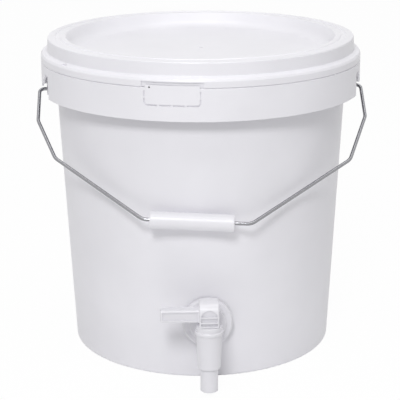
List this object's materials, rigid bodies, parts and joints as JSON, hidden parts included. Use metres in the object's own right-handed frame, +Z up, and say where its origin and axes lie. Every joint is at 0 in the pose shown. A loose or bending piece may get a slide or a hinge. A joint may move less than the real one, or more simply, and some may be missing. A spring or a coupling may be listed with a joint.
{
  "type": "plastic bucket with tap",
  "caption": "White tapered storage bucket with press-on lid, steel wire bail with tube grip, tear-off tamper tab and a lever tap near the base.",
  "frame": {"origin": "centre of the base underside", "axes": "+Z up, the tap towards -Y, the two bail ears on the X axis"},
  "size_m": [0.334, 0.3525, 0.3207],
  "materials": {
    "bucket_white": "satin moulded polyethylene",
    "lid_white": "satin moulded polyethylene",
    "wire_steel": "bright drawn wire",
    "grip_white": "smooth moulded tube",
    "tap_white": "smooth moulded polypropylene",
    "seal_rubber": "matte"
  },
  "bodies": {
    "bucket_body": {"bucket": "bucket_white", "tamper_tab": "bucket_white", "tap_body": "tap_white", "outer_gasket": "seal_rubber", "inner_gasket": "seal_rubber", "back_nut": "tap_white"},
    "lid_body": {"lid": "lid_white"},
    "bail": {"bail_wire": "wire_steel"},
    "grip": {"bail_grip": "grip_white"},
    "tap_handle": {"tap_plug": "tap_white", "tap_lever": "tap_white", "plug_o_ring_upper": "seal_rubber", "plug_o_ring_lower": "seal_rubber"}
  },
  "joints": [
    {"name": "bail_swing", "type": "hinge", "parent": "bucket_body", "child": "bail", "pos_m": [0, 0, 0.265], "axis": [-1, 0, 0], "range_deg": [0, 245]},
    {"name": "grip_spin", "type": "hinge", "parent": "bail", "child": "grip", "pos_m": [-0.01, -0.15138, 0.16667], "axis": [0.9971, -0.0643, -0.0418], "continuous": true},
    {"name": "lid_lift", "type": "slide", "parent": "bucket_body", "child": "lid_body", "axis": [0, 0, 1], "range_m": [0, 0.25]},
    {"name": "tap_turn", "type": "hinge", "parent": "bucket_body", "child": "tap_handle", "pos_m": [0, -0.17603, 0.05], "axis": [0, 0, 1], "range_deg": [0, 90]}
  ]
}
